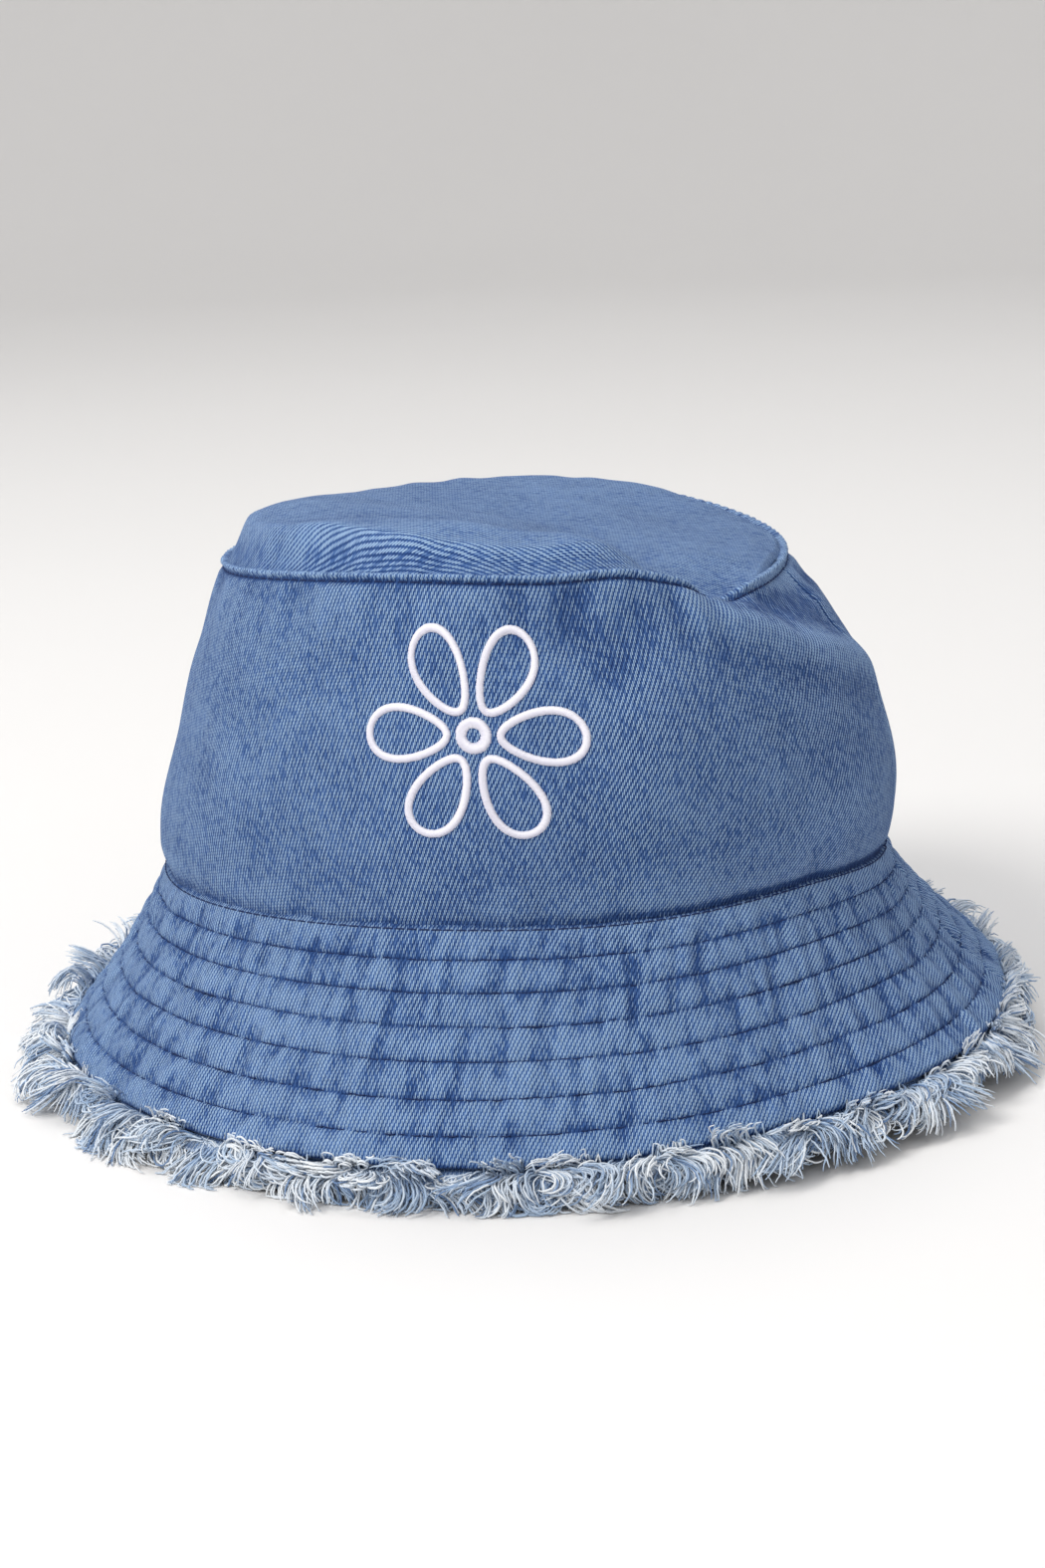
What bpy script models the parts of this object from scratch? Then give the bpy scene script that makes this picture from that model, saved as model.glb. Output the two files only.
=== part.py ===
"""A washed-denim bucket hat: an oval crown on a steep, stitched brim with a frayed edge.

Metres, +Z up. The hat stands on its fringe at z = 0, centred on the Z axis.
Its front, with the embroidery, faces -Y, and an angle is measured from +X round the Z axis.
"""

import math

import bmesh
import bpy
from mathutils import Vector

GAP = 0.0003
CLOTH = 0.0012
TAPE = 0.0008
FACETS = 48
TIP_RINGS, WALL_RINGS, BRIM_RINGS, CENTRE_FACETS = 5, 7, 5, 16
SHARP_ANGLE = math.radians(35)
WELD = 0.00001
TURN = 2 * math.pi
FRONT, RIGHT = math.radians(-90), 0.0

# Crown. Semi axes reach the outer face of the cloth.
BASE_X, BASE_Y = 0.0965, 0.0915
TIP_X, TIP_Y = 0.0755, 0.0845
SEAM_HEIGHT, SEAM_SADDLE = 0.0555, 0.0030
TIP_HEIGHT, TIP_SADDLE = 0.1355, 0.0040
TIP_LEAN, TIP_PITCH = 0.0024, 0.0020
TIP_DOME = 0.0030
TAPER = 1.7
SWELL, SIDE_SWELL = 0.0042, 0.0042

# Brim, from the crown seam to its folded edge.
BRIM_RUN, BRIM_FLARE, SIDE_FLARE = 0.0325, 0.10, 0.38
HEM_HEIGHT, HEM_WAVE, HEM_TILT = 0.0120, 0.0007, 0.0023
INTERLINING_END, STRIP_START, STRIP_END = 0.88, 0.90, 1.045

# Fringe, outward from the brim's folded edge.
FRINGE_START, FRINGE_END = 0.0017, 0.0125
FRINGE_DROP, FRINGE_TIP = 0.0045, 0.0020
FRINGE_SIDES, FRINGE_BULGE = 5, 0.7

# Inside the crown.
BAND_START, BAND_END = 0.02, 0.38
TIP_TAPE_START, TIP_TAPE_END = 0.87, 0.96
SIDE_TAPE_START, SIDE_TAPE_END = 0.40, 0.85
SIDE_TAPE_HALF = 0.060
LABEL_HALF, LABEL_START, LABEL_END = 0.130, 0.08, 0.30

# Thread.
THREAD = 0.00030
BRIM_ROWS = 6
TIP_STITCH_LEVEL, SEAM_STITCH_REACH = 0.965, 0.020

# Embroidery on the front panel.
FLOWER_ANGLE, FLOWER_LEVEL = math.radians(-88.4), 0.57
FLOWER_RADIUS, FLOWER_WAIST = 0.0245, 0.0145
FLOWER_PETALS, FLOWER_POINTS, FLOWER_THREAD = 6, 72, 0.00085
CENTRE_RADIUS, CENTRE_THICK = 0.0050, 0.0009

DENIM = (0.100, 0.180, 0.350)
PALE_DENIM = (0.150, 0.240, 0.400)
NAVY_THREAD = (0.020, 0.035, 0.110)
FRAYED = (0.420, 0.480, 0.570)
WHITE = (0.850, 0.840, 0.900)
TAPE_BLUE = (0.060, 0.090, 0.170)
CANVAS = (0.620, 0.600, 0.550)


def clear_scene():
    for obj in list(bpy.data.objects):
        bpy.data.objects.remove(obj, do_unlink=True)


def new_collection(name):
    collection = bpy.data.collections.new(name)
    bpy.context.scene.collection.children.link(collection)
    return collection


def fabric(name, color, roughness):
    material = bpy.data.materials.new(name)
    material.use_nodes = True
    shader = material.node_tree.nodes["Principled BSDF"]
    shader.inputs["Base Color"].default_value = (*color, 1.0)
    shader.inputs["Roughness"].default_value = roughness
    shader.inputs["Metallic"].default_value = 0.0
    return material


# The shape of the hat


def between(low, high, share):
    return low + (high - low) * share


def seam_height(angle):
    """Height of the seam between crown and brim."""
    return SEAM_HEIGHT - SEAM_SADDLE * math.cos(2 * angle)


def hem_height(angle):
    """Height of the brim's folded edge, lowest at the front left and highest at the back right."""
    return HEM_HEIGHT - HEM_WAVE * math.cos(4 * angle) + HEM_TILT * (math.sin(angle) + math.cos(angle))


def tip_height(angle):
    """Height of the seam round the crown's flat top."""
    lean = TIP_LEAN * math.cos(angle) + TIP_PITCH * math.sin(angle)
    return TIP_HEIGHT - TIP_SADDLE * math.cos(2 * angle) - lean


def crown_face(angle, level):
    """The outer face of the side wall, from level 0 at the brim to 1 at the tip."""
    ease = level**TAPER
    swell = math.sin(math.pi * level) * (SWELL + SIDE_SWELL * math.cos(angle))
    semi_x = between(BASE_X, TIP_X, ease) + swell
    semi_y = between(BASE_Y, TIP_Y, ease) + swell
    height = between(seam_height(angle) + GAP, tip_height(angle), level)
    return Vector((semi_x * math.cos(angle), semi_y * math.sin(angle), height))


def brim_face(angle, reach):
    """The upper face of the brim, from reach 0 at the crown to 1 at the folded edge."""
    flare = BRIM_FLARE + SIDE_FLARE * math.cos(angle) ** 2
    out = BRIM_RUN * (reach + flare * reach * (reach - 1))
    height = between(seam_height(angle), hem_height(angle), reach)
    return Vector(((BASE_X + out) * math.cos(angle), (BASE_Y + out) * math.sin(angle), height))


def normal(face, angle, share):
    """The unit normal of a face, from small steps along it."""
    step = 0.0001
    here = face(angle, share)
    along = face(angle + step, share) - here
    across = face(angle, share + step) - here
    return along.cross(across).normalized()


def crown_point(angle, level, inset=0.0):
    return crown_face(angle, level) - inset * normal(crown_face, angle, level)


def brim_point(angle, reach, inset=0.0):
    return brim_face(angle, reach) + inset * normal(brim_face, angle, reach)


def tip_point(angle, share):
    """A point on the domed top, from share 0 at its middle to 1 at its rim."""
    rise = CLOTH + GAP + TIP_DOME * (1 - share**2)
    saddle = TIP_SADDLE * math.cos(2 * angle) * share**2
    lean = (TIP_LEAN * math.cos(angle) + TIP_PITCH * math.sin(angle)) * share
    height = TIP_HEIGHT + rise - saddle - lean
    return Vector((TIP_X * share * math.cos(angle), TIP_Y * share * math.sin(angle), height))


def fringe_point(angle, out, height):
    """A point beyond the folded edge, level with the ground."""
    semi_x, semi_y = BASE_X + BRIM_RUN + out, BASE_Y + BRIM_RUN + out
    return Vector((semi_x * math.cos(angle), semi_y * math.sin(angle), height))


# Solids


def add_mesh(collection, name, mesh, material):
    mesh.materials.append(material)
    mesh.shade_smooth()
    mesh.set_sharp_from_angle(angle=SHARP_ANGLE)
    obj = bpy.data.objects.new(name, mesh)
    collection.objects.link(obj)
    return obj


def mapped_grid(name, columns, rows, place):
    """A grid bent over a surface. place(u, v) gives a point for u and v from 0 to 1."""
    grid = bmesh.new()
    bmesh.ops.create_grid(grid, x_segments=columns, y_segments=rows, size=0.5)
    for vert in grid.verts:
        vert.co = place(vert.co.x + 0.5, vert.co.y + 0.5)
    bmesh.ops.remove_doubles(grid, verts=grid.verts, dist=WELD)
    mesh = bpy.data.meshes.new(name)
    grid.to_mesh(mesh)
    grid.free()
    return mesh


def add_sheet(collection, name, material, thickness, columns, rows, place):
    """Cloth of one thickness, its outer face on the mapped grid."""
    obj = add_mesh(collection, name, mapped_grid(name, columns, rows, place), material)
    solid = obj.modifiers.new("thickness", "SOLIDIFY")
    solid.thickness = thickness
    solid.offset = -1.0
    return obj


def wall_patch(low, high, start, end, inset):
    """Where a piece of the side wall lies, between two angles and two levels."""
    return lambda u, v: crown_point(between(low, high, u), between(start, end, v), inset)


def brim_patch(low, high, start, end, inset):
    """Where a layer of the brim lies, between two angles and two reaches."""
    return lambda u, v: brim_point(between(low, high, u), between(end, start, v), inset)


def half_turn(middle, radius):
    """The angles of a half ring about its middle, a gap short of the side seams."""
    margin = GAP / radius
    return middle - TURN / 4 + margin, middle + TURN / 4 - margin


def add_crown(collection, denim):
    def place_tip(u, v):
        return tip_point(TURN * u, 1 - v)

    add_sheet(collection, "crown_tip", denim, CLOTH, FACETS, TIP_RINGS, place_tip)
    for name, middle in (("side_panel_front", FRONT), ("side_panel_back", -FRONT)):
        low, high = half_turn(middle, TIP_X)
        place = wall_patch(low, high, 0, 1, 0)
        add_sheet(collection, name, denim, CLOTH, FACETS // 2, WALL_RINGS, place)


def add_brim(collection, denim, canvas):
    lower = CLOTH + TAPE + 2 * GAP
    for side, middle in (("front", FRONT), ("back", -FRONT)):
        low, high = half_turn(middle, BASE_X)
        for layer, inset in (("upper", 0.0), ("lower", lower)):
            place = brim_patch(low, high, 0, 1, inset)
            name = f"brim_{layer}_{side}"
            add_sheet(collection, name, denim, CLOTH, FACETS // 2, BRIM_RINGS, place)
    place = brim_patch(0, TURN, 0, INTERLINING_END, CLOTH + GAP)
    add_sheet(collection, "brim_interlining", canvas, TAPE, FACETS, BRIM_RINGS - 1, place)


def add_fringe(collection, denim, frayed):
    place = brim_patch(0, TURN, STRIP_START, STRIP_END, CLOTH + GAP)
    add_sheet(collection, "fringe_strip", denim, TAPE, FACETS, 1, place)
    middle = between(FRINGE_START, FRINGE_END, 0.5)

    def place_section(u, v):
        angle = TURN * u
        top = hem_height(angle) - FRINGE_DROP
        section = (
            (FRINGE_START, 0.0),
            (FRINGE_END, 0.0),
            (FRINGE_END, FRINGE_TIP),
            (middle, between(FRINGE_TIP, top, FRINGE_BULGE)),
            (FRINGE_START, top),
            (FRINGE_START, 0.0),
        )
        return fringe_point(angle, *section[round(v * FRINGE_SIDES)])

    add_mesh(
        collection,
        "frayed_yarns",
        mapped_grid("frayed_yarns", FACETS, FRINGE_SIDES, place_section),
        frayed,
    )


def add_inside(collection, tape, white):
    inside = CLOTH + GAP
    place = wall_patch(0, TURN, BAND_START, BAND_END, inside)
    add_sheet(collection, "sweatband", tape, TAPE, FACETS, 2, place)
    place = wall_patch(0, TURN, TIP_TAPE_START, TIP_TAPE_END, inside)
    add_sheet(collection, "tip_seam_tape", tape, TAPE, FACETS, 1, place)
    for side, middle in (("right", RIGHT), ("left", TURN / 2)):
        low, high = middle - SIDE_TAPE_HALF, middle + SIDE_TAPE_HALF
        place = wall_patch(low, high, SIDE_TAPE_START, SIDE_TAPE_END, inside + GAP)
        add_sheet(collection, f"side_seam_tape_{side}", tape, TAPE, 2, 3, place)
    low, high = -FRONT - LABEL_HALF, -FRONT + LABEL_HALF
    place = wall_patch(low, high, LABEL_START, LABEL_END, inside + TAPE + 2 * GAP)
    add_sheet(collection, "care_label_blank", white, TAPE / 2, 4, 1, place)


def add_thread(collection, name, material, radius, points):
    """A closed loop of thread through the points."""
    curve = bpy.data.curves.new(name, "CURVE")
    curve.dimensions = "3D"
    curve.bevel_depth = radius
    curve.bevel_resolution = 0
    curve.use_fill_caps = True
    spline = curve.splines.new("POLY")
    spline.points.add(len(points) - 1)
    for target, point in zip(spline.points, points):
        target.co = (*point, 1.0)
    spline.use_cyclic_u = True
    curve.materials.append(material)
    obj = bpy.data.objects.new(name, curve)
    collection.objects.link(obj)
    return obj


def add_stitching(collection, thread):
    angles = [TURN * i / FACETS for i in range(FACETS)]
    above = -(GAP + THREAD)
    reaches = {f"brim_stitching_{i}": i / (BRIM_ROWS + 1) for i in range(1, BRIM_ROWS + 1)}
    reaches["brim_seam_stitching"] = SEAM_STITCH_REACH
    for name, reach in reaches.items():
        add_thread(collection, name, thread, THREAD, [brim_point(a, reach, above) for a in angles])
    points = [crown_point(a, TIP_STITCH_LEVEL, above) for a in angles]
    add_thread(collection, "tip_stitching", thread, THREAD, points)


def flower_point(turn, radius, inset):
    """A point of the flower, laid on the front of the side wall."""
    wall = (crown_face(FRONT, 1) - crown_face(FRONT, 0)).length
    angle = FLOWER_ANGLE + radius * math.cos(turn) / BASE_Y
    return crown_point(angle, FLOWER_LEVEL + radius * math.sin(turn) / wall, inset)


def add_embroidery(collection, white):
    middle = (FLOWER_RADIUS + FLOWER_WAIST) / 2
    swing = (FLOWER_RADIUS - FLOWER_WAIST) / 2
    points = []
    for i in range(FLOWER_POINTS):
        turn = TURN * i / FLOWER_POINTS
        radius = middle + swing * math.cos(FLOWER_PETALS * turn)
        points.append(flower_point(turn, radius, -(2 * GAP + FLOWER_THREAD)))
    add_thread(collection, "embroidery_petals", white, FLOWER_THREAD, points)

    def place_centre(u, v):
        return flower_point(TURN * u, CENTRE_RADIUS * (1 - v), -(GAP + CENTRE_THICK))

    add_sheet(collection, "embroidery_centre", white, CENTRE_THICK, CENTRE_FACETS, 2, place_centre)


def main():
    clear_scene()
    hat = new_collection("bucket_hat")
    denim = fabric("washed_denim", DENIM, 0.90)
    pale = fabric("pale_denim", PALE_DENIM, 0.92)
    frayed = fabric("frayed_cotton", FRAYED, 0.95)
    thread = fabric("navy_thread", NAVY_THREAD, 0.70)
    white = fabric("white_thread", WHITE, 0.50)
    tape = fabric("cotton_tape", TAPE_BLUE, 0.85)
    canvas = fabric("stiff_canvas", CANVAS, 0.95)
    add_crown(hat, denim)
    add_brim(hat, denim, canvas)
    add_fringe(hat, pale, frayed)
    add_inside(hat, tape, white)
    add_stitching(hat, thread)
    add_embroidery(hat, white)


main()
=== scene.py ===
import math

import bpy
import numpy as np
from mathutils import Matrix, Vector


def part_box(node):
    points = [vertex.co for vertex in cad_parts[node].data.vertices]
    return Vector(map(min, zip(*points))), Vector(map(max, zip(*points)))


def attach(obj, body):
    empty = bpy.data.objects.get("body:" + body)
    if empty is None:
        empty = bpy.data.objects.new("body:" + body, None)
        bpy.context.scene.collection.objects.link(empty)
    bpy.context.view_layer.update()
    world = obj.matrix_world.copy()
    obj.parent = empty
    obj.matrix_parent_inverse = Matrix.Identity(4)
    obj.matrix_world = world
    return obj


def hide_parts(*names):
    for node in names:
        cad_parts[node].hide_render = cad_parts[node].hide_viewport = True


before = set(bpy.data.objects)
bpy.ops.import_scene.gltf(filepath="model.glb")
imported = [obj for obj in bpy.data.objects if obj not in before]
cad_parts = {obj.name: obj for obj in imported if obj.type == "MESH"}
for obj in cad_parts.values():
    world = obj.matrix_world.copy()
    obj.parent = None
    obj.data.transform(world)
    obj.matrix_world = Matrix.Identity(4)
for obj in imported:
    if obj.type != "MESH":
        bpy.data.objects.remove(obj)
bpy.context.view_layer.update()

# A washed-denim bucket hat that stands on its frayed brim, front towards -Y. Metres.
# An angle is measured from +X round the Z axis. A level runs up the side wall from the
# brim seam (0) to the tip seam (1), and a reach runs out along the brim from the crown
# seam (0) to the folded edge (1). Points are numpy arrays whose last axis is x, y, z.

TURN = 2 * math.pi
FRONT, RIGHT = math.radians(-90), 0.0

# Shape, as in the CAD frame, but for LEFT_NIP, which draws the brim in a little at the left.
TIP_X, TIP_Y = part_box("crown_tip")[1].x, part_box("crown_tip")[1].y
BRIM_RUN, BRIM_FLARE, SIDE_FLARE, LEFT_NIP = 0.0325, 0.10, 0.38, 0.11
BASE_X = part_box("brim_upper_front")[1].x - BRIM_RUN
BASE_Y = -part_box("brim_upper_front")[0].y - BRIM_RUN
SEAM_SADDLE = 0.0030
SEAM_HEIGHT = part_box("brim_upper_front")[1].z - SEAM_SADDLE
TIP_SADDLE, TIP_LEAN, TIP_PITCH, TIP_DOME = 0.0040, 0.0024, 0.0020, 0.0030
TIP_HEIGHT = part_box("side_panel_front")[1].z - TIP_SADDLE - TIP_PITCH
HEM_HEIGHT, HEM_WAVE, HEM_TILT = 0.0120, 0.0007, 0.0023
TAPER = 1.7
SWELL, SIDE_SWELL = 0.0042, 0.0042

# Lengths of cloth, for weave and noise: the wall's height, its mean radius, the brim's
# width down its slope, the hem's mean radius, and how fast the brim's cone opens.
WALL, WALL_RADIUS = 0.081, 0.0885
BRIM_WIDTH, HEM_RADIUS = 0.0555, 0.127
CONE = BRIM_RUN / BRIM_WIDTH
WALL_CONE = 0.24

# Depths of the lower brim and strip, the interlining's rise above the lower brim, and the
# strip's last reach and its upturn there.
BRIM_DEPTH, STRIP_DEPTH, INTERLINING_RISE = 0.0036, 0.0015, 0.0013
STRIP_END, STRIP_UPTURN = 1.088, 0.0012

# How far the brim's wear may fade it or darken it.
BRIM_FADE = 1.25

# Cloth and thread.
DENIM_THICK, TAPE_THICK = 0.0010, 0.0007
ROW_REACHES = (0.152, 0.292, 0.433, 0.578, 0.728, 0.875)
PUFF = 0.0005
RIDGE_LEVEL, RIDGE_RISE, CROWN_TOP = 0.983, 0.0009, 1.05
SEAM_ROW, TIP_ROW, TIP_STITCHES = 0.026, RIDGE_LEVEL - 0.007, 148
FOLD_TURN, FOLD_START, FOLD_FALL = 40.0, 0.965, 0.0050
WARP_PITCH, WEFT_PITCH, WEAVE_DEPTH = 0.00033, 0.00078, 0.00022
TIP_GRAIN = math.radians(80)
HALVES = (("front", FRONT), ("back", -FRONT))
HALF_MARGIN = 0.0015
THREAD_RADIUS = 0.00019
STITCH_PITCH, STITCH_SHARE = 0.0030, 0.9
YARN_RADIUS = 0.00024

# Embroidery, on the front of the side wall.
FLOWER_ANGLE, FLOWER_LEVEL = math.radians(-88.4), 0.57
PETALS, PETAL_START, PETAL_END, PETAL_HALF = 6, 0.0064, 0.0262, 0.0058
SATIN_WIDTH, SATIN_PITCH, SATIN_RISE, SATIN_RADIUS = 0.0017, 0.00024, 0.00060, 0.00021
CENTRE_RADIUS, CENTRE_WIDTH = 0.0030, 0.0024

# Lumps of noise: how high they stand, in metres or as a share, how long they are, and the seed.
WALL_SOFT, WALL_RIPPLE = (0.0013, 0.042, 11), (0.0005, 0.017, 12)
TIP_GATHERS, SEAM_GATHERS = (0.0014, 0.0075, 13), (0.0005, 0.008, 14)
RIDGE_KNOBS, RIDGE_GRIT = (1.0, 0.0023, 15), (2.2, 0.0009, 16)
ROW_WANDER, BRIM_WAVE = (0.0035, 0.022, 21), (0.0016, 0.055, 24)
LONG_PUCKERS, SHORT_PUCKERS = (0.00075, 0.0038, 26), (0.00038, 0.0025, 22)
BROAD_PUCKERS = (0.0004, 0.010, 23)
COARSE_SCUFFS, FINE_SCUFFS = (0.8, 0.0038, 27), (1.2, 0.0019, 28)
TOP_SOFT, TOP_RIPPLE, TOP_PUCKERS = (0.0012, 0.036, 31), (0.0005, 0.013, 32), (0.0006, 0.007, 33)
STRIP_RAGS, STRIP_WAVE = (0.45, 0.0035, 41), (0.0005, 0.011, 42)
TAPE_RIPPLE, STITCH_WANDER = (0.00018, 0.006, 51), (0.0018, 0.020, 61)

# The soft top's pillows: height, then middle and half-width along X and along Y.
PILLOWS = (
    (0.0085, -0.026, 0.050, -0.042, 0.040),
    (0.0042, -0.022, 0.050, -0.068, 0.014),
    (0.0076, -0.060, 0.026, 0.005, 0.045),
    (0.0030, 0.032, 0.016, -0.064, 0.011),
)

DETAIL = 1.0


# Helpers for arrays


def mix(low, high, share):
    return low + (high - low) * share


def smooth(value, low, high):
    share = np.clip((value - low) / (high - low), 0.0, 1.0)
    return share * share * (3.0 - 2.0 * share)


def bell(value, middle, width):
    return np.exp(-(((value - middle) / width) ** 2))


def wrapped(angle, middle):
    """The angle's distance from a middle, from -pi to pi."""
    return (angle - middle + math.pi) % TURN - math.pi


def noise(points, size, seed):
    """Smooth noise from -1 to 1 at each point, in lumps of about the given size."""
    side = 32
    table = np.random.default_rng(seed).uniform(-1.0, 1.0, (side, side, side))
    place = np.asarray(points) / size
    cell = np.floor(place).astype(int)
    part = place - cell
    part = part * part * (3.0 - 2.0 * part)
    total = np.zeros(place.shape[:-1])
    for corner in np.ndindex(2, 2, 2):
        weight = np.ones(place.shape[:-1])
        for axis in range(3):
            share = part[..., axis]
            weight = weight * (share if corner[axis] else 1.0 - share)
        spot = (cell + np.array(corner)) % side
        total += weight * table[spot[..., 0], spot[..., 1], spot[..., 2]]
    return total


def stacked(x, y, z):
    return np.stack(np.broadcast_arrays(x, y, z), axis=-1)


def ring(angle, along, radius):
    """Points for noise that closes round a ring and also varies along a length."""
    return stacked(radius * np.cos(angle), radius * np.sin(angle), along)


def lumps(kind, points):
    height, size, seed = kind
    return height * noise(points, size, seed)


def unit(vectors):
    return vectors / np.linalg.norm(vectors, axis=-1, keepdims=True)


def normals(face, angle, share):
    """Unit vectors across a surface, from small steps along it."""
    step = 0.0008
    around = face(angle + step, share) - face(angle - step, share)
    across = face(angle, share + step) - face(angle, share - step)
    return unit(np.cross(around, across))


# The smooth form of the hat


def front_turn(angle):
    """Degrees round the hat from the middle of the front, towards the right."""
    return np.degrees(wrapped(angle, FRONT))


def seam_height(angle):
    """The brim seam's height: higher at the front and back, and pulled up at the front right."""
    pulled = 0.0040 * bell(front_turn(angle), 56.0, 24.0)
    return SEAM_HEIGHT - SEAM_SADDLE * np.cos(2 * angle) + pulled


def hem_height(angle):
    return HEM_HEIGHT - HEM_WAVE * np.cos(4 * angle) + HEM_TILT * (np.sin(angle) + np.cos(angle))


def tip_lean(angle):
    return TIP_LEAN * np.cos(angle) + TIP_PITCH * np.sin(angle)


def tip_height(angle):
    return TIP_HEIGHT - TIP_SADDLE * np.cos(2 * angle) - tip_lean(angle)


def crown_form(angle, level):
    """The side wall. Its normals face out."""
    rise = np.clip(level, 0.0, None)
    swell = np.sin(math.pi * np.clip(level, 0, 1)) * (SWELL + SIDE_SWELL * np.cos(angle))
    semi_x = mix(BASE_X, TIP_X, rise**TAPER) + swell
    semi_y = mix(BASE_Y, TIP_Y, rise**TAPER) + swell
    height = mix(seam_height(angle), tip_height(angle), level)
    return stacked(semi_x * np.cos(angle), semi_y * np.sin(angle), height)


def brim_bow(angle):
    """The brim's run out, over BRIM_RUN: the share that grows with reach, and with its square."""
    flare = BRIM_FLARE + SIDE_FLARE * np.cos(angle) ** 2
    return 1.0 - flare, flare - LEFT_NIP * bell(front_turn(angle), -88.0, 30.0)


def brim_form(angle, reach):
    """The brim's upper face. Its normals face in, under the brim."""
    start, bow = brim_bow(angle)
    out = BRIM_RUN * (start * reach + bow * reach**2)
    height = mix(seam_height(angle), hem_height(angle), reach)
    return stacked((BASE_X + out) * np.cos(angle), (BASE_Y + out) * np.sin(angle), height)


def tip_form(angle, share):
    """The crown's top, from share 0 at its middle to 1 at its rim."""
    saddle = TIP_SADDLE * np.cos(2 * angle) * share**2
    height = TIP_HEIGHT + TIP_DOME * (1 - share**2) - saddle - tip_lean(angle) * share
    return stacked(TIP_X * share * np.cos(angle), TIP_Y * share * np.sin(angle), height)


# Relief: how far the cloth stands off the smooth form


def side_seam(angle, radius):
    """The crease where the front and back halves are joined, at the two sides."""
    off = np.minimum(np.abs(wrapped(angle, RIGHT)), np.abs(wrapped(angle, RIGHT + TURN / 2)))
    return -0.0009 * bell(off * radius, 0.0, 0.0011) + 0.0003 * bell(off * radius, 0.0045, 0.0030)


def crown_fold(angle, level):
    """The soft fold at the front right, where the wall rolls over the tip seam and falls away."""
    turn = front_turn(angle)
    line = FOLD_START - FOLD_FALL * (turn - FOLD_TURN)
    above = (level - line) * WALL
    span = smooth(turn, 34.0, 52.0) * smooth(turn, 102.0, 84.0)
    roll = 0.0026 * bell(above, -0.004, 0.0070)
    dent = -0.0018 * bell(above, 0.0085, 0.0070)
    return span * (roll + dent)


def hidden_seam(angle):
    """Where the tip seam sinks behind the fold, from 0 to 1."""
    return bell(front_turn(angle), 54.0, 9.0)


def seam_rise(angle):
    """How far the tip seam stands above the smooth form."""
    turn = front_turn(angle)
    return 0.0012 * bell(turn, -5.0, 70.0) + 0.0026 * bell(turn, 30.0, 12.0)


def seam_pull(angle):
    """How far the tip seam is drawn in at the right, where the wall puffs out beyond it."""
    return 0.0062 * bell(front_turn(angle), 85.0, 24.0) + 0.0030 * hidden_seam(angle)


def crevice(angle):
    """How deep the line is between the tip seam's ridge and the tip: deepest right of the fold."""
    turn = front_turn(angle)
    return mix(0.0004, 0.0013, smooth(turn, 56.0, 70.0) * smooth(turn, 170.0, 120.0))


def overhang(angle):
    """How much the crown hangs over the brim seam: most at the right, least at the left and back."""
    turn = front_turn(angle)
    return mix(0.4, 1.3, smooth(turn, -10.0, 45.0) * smooth(turn, 165.0, 110.0))


def pinched(angle):
    """From 0 at each bite of the topstitch to 1 midway between two."""
    share = angle * TIP_STITCHES / TURN
    return np.sin(math.pi * (share - np.floor(share)))


def tip_ridge(angle, level):
    """The tip seam's bead, which the topstitch pinches, and the line between it and the tip."""
    flat = 1.0 - hidden_seam(angle)
    stitched = -0.0006 * bell(level, RIDGE_LEVEL - 0.005, 0.007)
    knobbly = mix(0.12, 0.6, bell(front_turn(angle), -5.0, 55.0))
    knobs = lumps(RIDGE_KNOBS, ring(angle, level * WALL, WALL_RADIUS))
    bead = RIDGE_RISE * mix(0.5, 1.0, pinched(angle)) * (1.0 + knobbly * knobs)
    bead = bead * smooth(level, RIDGE_LEVEL - 0.003, RIDGE_LEVEL + 0.006)
    return flat * (stitched + bead - crevice(angle) * smooth(level, 0.996, 1.008))


def wall_dents(angle, level):
    """Where the wall is slimmer or fuller than its smooth form, and two dents below the tip seam."""
    turn = front_turn(angle)
    slim = -0.0030 * bell(turn, 94.0, 42.0) * smooth(level, 0.12, 0.50) * smooth(level, 1.0, 0.90)
    lobe = 0.0022 * bell(turn, -88.0, 32.0) * smooth(level, -0.01, 0.07) * smooth(level, 0.45, 0.15)
    upright = -0.0016 * bell(turn, 17.0, 6.0) * bell(level, 0.86, 0.10)
    slanted = -0.0018 * bell(turn - 40.0 * (level - 0.8), 26.0, 6.5) * bell(level, 0.80, 0.15)
    return slim + lobe + upright + slanted


def crown_relief(angle, level):
    height = level * WALL
    soft = lumps(WALL_SOFT, ring(angle, height, WALL_RADIUS))
    soft = soft + lumps(WALL_RIPPLE, ring(angle + 4 * height, height, WALL_RADIUS))
    inner = smooth(level, 0.0, 0.25) * smooth(level, 1.0, 0.8)
    below_tip = smooth(level, 0.74, 0.95) * smooth(level, RIDGE_LEVEL - 0.004, RIDGE_LEVEL - 0.030)
    above_seam = bell(level, 0.04, 0.09)
    gathers = below_tip * lumps(TIP_GATHERS, ring(angle, height * 0.22, WALL_RADIUS))
    gathers = gathers + above_seam * lumps(SEAM_GATHERS, ring(angle, height * 0.25, WALL_RADIUS))
    tuck = -0.0006 * overhang(angle) * bell(level, 0.0, 0.022)
    seam = side_seam(angle, WALL_RADIUS) * smooth(level, 1.0, 0.97)
    shape = tip_ridge(angle, level) + wall_dents(angle, level) + crown_fold(angle, level)
    return inner * soft + gathers + tuck + seam + shape


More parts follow.
